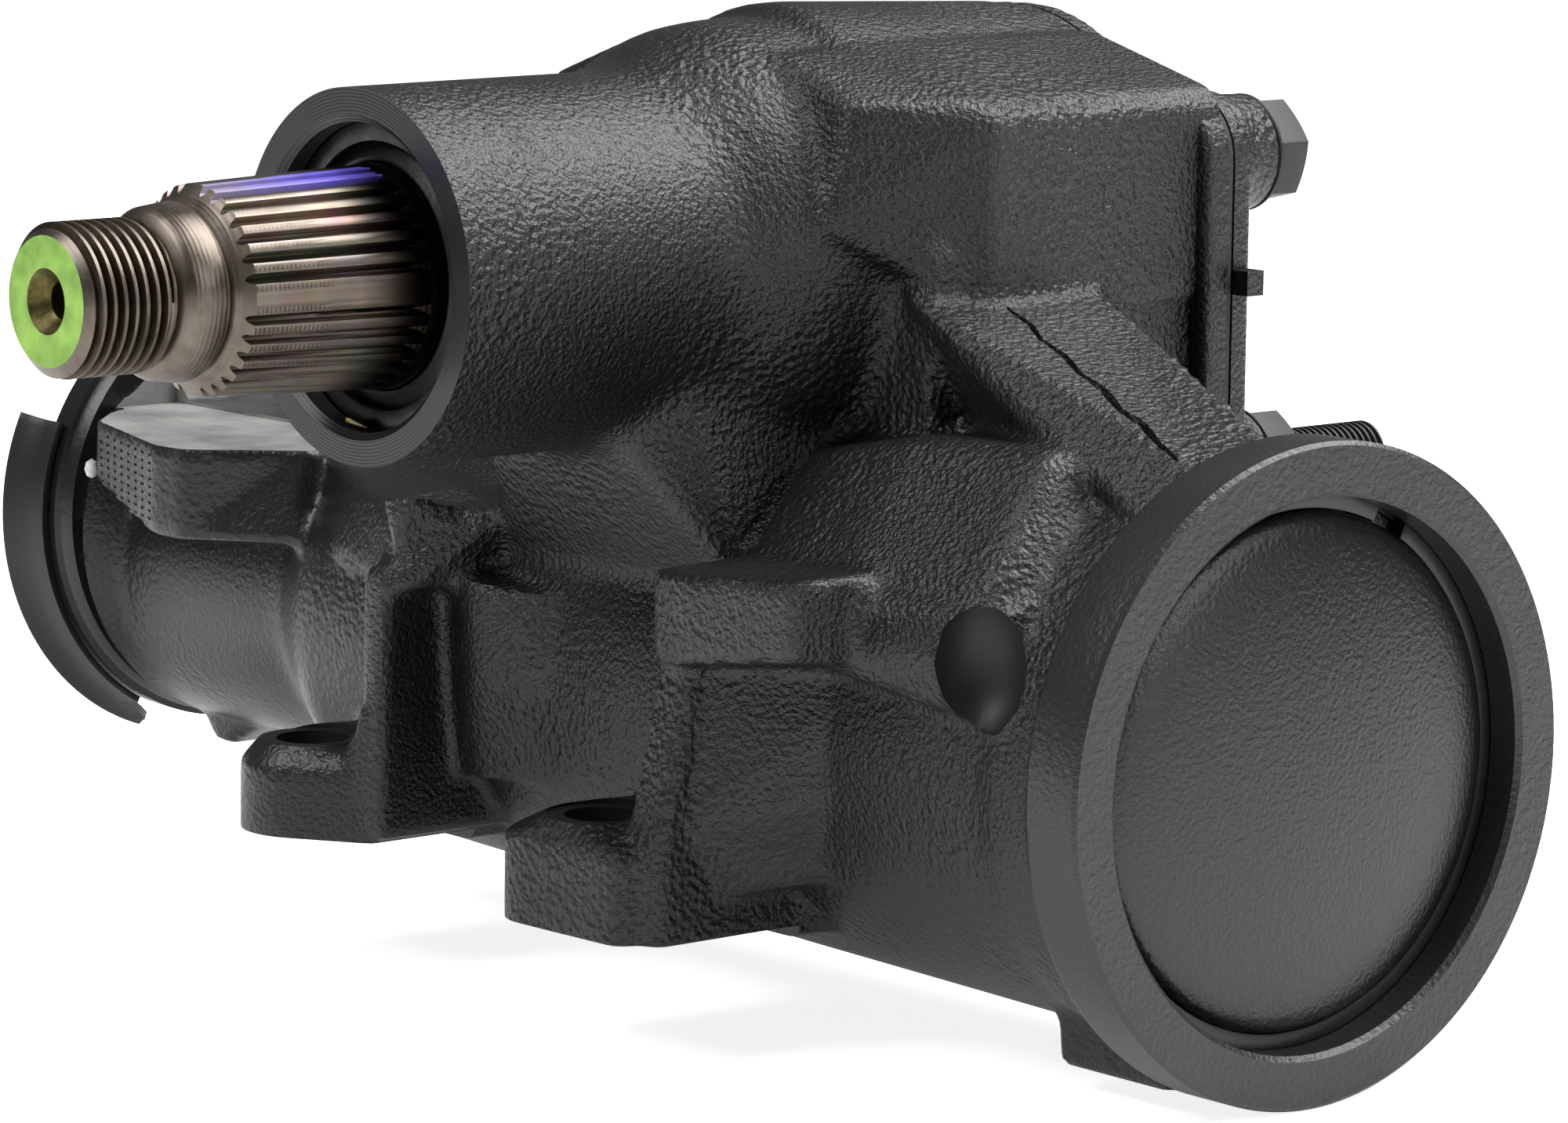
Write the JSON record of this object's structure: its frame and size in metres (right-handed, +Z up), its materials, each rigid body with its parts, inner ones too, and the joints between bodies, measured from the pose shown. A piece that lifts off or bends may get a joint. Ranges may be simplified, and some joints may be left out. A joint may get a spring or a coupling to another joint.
{
  "type": "power steering gearbox",
  "caption": "Recirculating-ball power steering gearbox with a black cast housing, serrated sector shaft, rack piston, worm and rotary valve.",
  "frame": {"origin": "middle of the bounding box, at the lowest point of the end cover ring", "axes": "+X along the piston and the input shaft, towards the end cover; the sector shaft's threaded end points to -Y; +Z up"},
  "size_m": [0.3028, 0.2218, 0.1524],
  "materials": {
    "painted_iron": "satin black paint on cast iron",
    "painted_steel": "satin black paint on steel",
    "bare_steel": "bare machined steel",
    "ground_steel": "ground hardened steel",
    "spring_steel": "dark spring steel",
    "brass": "machined brass",
    "rubber": "black nitrile rubber",
    "nylon": "matte black moulded plastic",
    "gasket": "coated gasket sheet",
    "teflon": "filled PTFE"
  },
  "bodies": {
    "housing_body": {"adjuster_lock_nut": "painted_steel", "bearing_adjuster_plug": "painted_steel", "coupling_shield": "nylon", "cover_bolt_1": "painted_steel", "cover_bolt_2": "painted_steel", "cover_bolt_3": "painted_steel", "cover_bush": "brass", "cover_stud": "painted_steel", "cover_stud_nut": "painted_steel", "end_cover": "painted_steel", "end_cover_o_ring": "rubber", "end_cover_retaining_ring": "spring_steel", "housing": "painted_iron", "lash_adjuster_screw": "bare_steel", "plug_lock_nut": "painted_steel", "plug_thrust_bearing": "ground_steel", "pressure_port_seat": "brass", "return_port_seat": "brass", "sector_dust_seal": "rubber", "sector_needle_bearing": "bare_steel", "sector_oil_seal": "rubber", "sector_retaining_ring": "spring_steel", "sector_seal_washer": "bare_steel", "side_cover": "painted_iron", "side_cover_gasket": "gasket", "stub_dust_seal": "rubber", "stub_needle_bearing": "bare_steel", "stub_oil_seal": "rubber", "stub_retaining_ring": "spring_steel", "worm_thrust_bearing": "ground_steel"},
    "piston_body": {"ball_1": "ground_steel", "ball_2": "ground_steel", "ball_3": "ground_steel", "ball_4": "ground_steel", "ball_5": "ground_steel", "ball_6": "ground_steel", "ball_7": "ground_steel", "ball_8": "ground_steel", "ball_9": "ground_steel", "ball_return_guide": "bare_steel", "guide_clamp": "bare_steel", "guide_clamp_screw_1": "bare_steel", "guide_clamp_screw_2": "bare_steel", "piston_end_plug": "bare_steel", "piston_seal_ring": "teflon", "rack_piston": "ground_steel"},
    "sector_body": {"sector_shaft": "bare_steel"},
    "worm_body": {"sleeve_drive_pin": "ground_steel", "sleeve_seal_ring_1": "teflon", "sleeve_seal_ring_2": "teflon", "sleeve_seal_ring_3": "teflon", "valve_sleeve": "ground_steel", "worm_shaft": "ground_steel"},
    "stub_body": {"stub_shaft": "bare_steel", "torsion_bar": "spring_steel", "torsion_bar_pin": "ground_steel", "valve_spool": "ground_steel"}
  },
  "joints": [
    {"name": "sector_turn", "type": "hinge", "parent": "housing_body", "child": "sector_body", "pos_m": [0.03785, 0.02895, 0.1144], "axis": [0, -1, 0], "range_deg": [-36, 36]},
    {"name": "piston_slide", "type": "slide", "parent": "housing_body", "child": "piston_body", "axis": [1, 0, 0], "range_m": [-0.02385, 0.02385]},
    {"name": "worm_spin", "type": "hinge", "parent": "housing_body", "child": "worm_body", "pos_m": [0.03785, 0.02895, 0.0481], "axis": [1, 0, 0], "range_deg": [-577, 577]},
    {"name": "valve_twist", "type": "hinge", "parent": "worm_body", "child": "stub_body", "pos_m": [-0.12935, 0.02895, 0.0481], "axis": [1, 0, 0], "range_deg": [-7, 7], "stiffness_Nm_per_rad": 2}
  ],
  "couplings": [
    {"joint": "piston_slide", "follows": "sector_turn", "m_per_rad": 0.0378},
    {"joint": "worm_spin", "follows": "sector_turn", "ratio": -16}
  ]
}
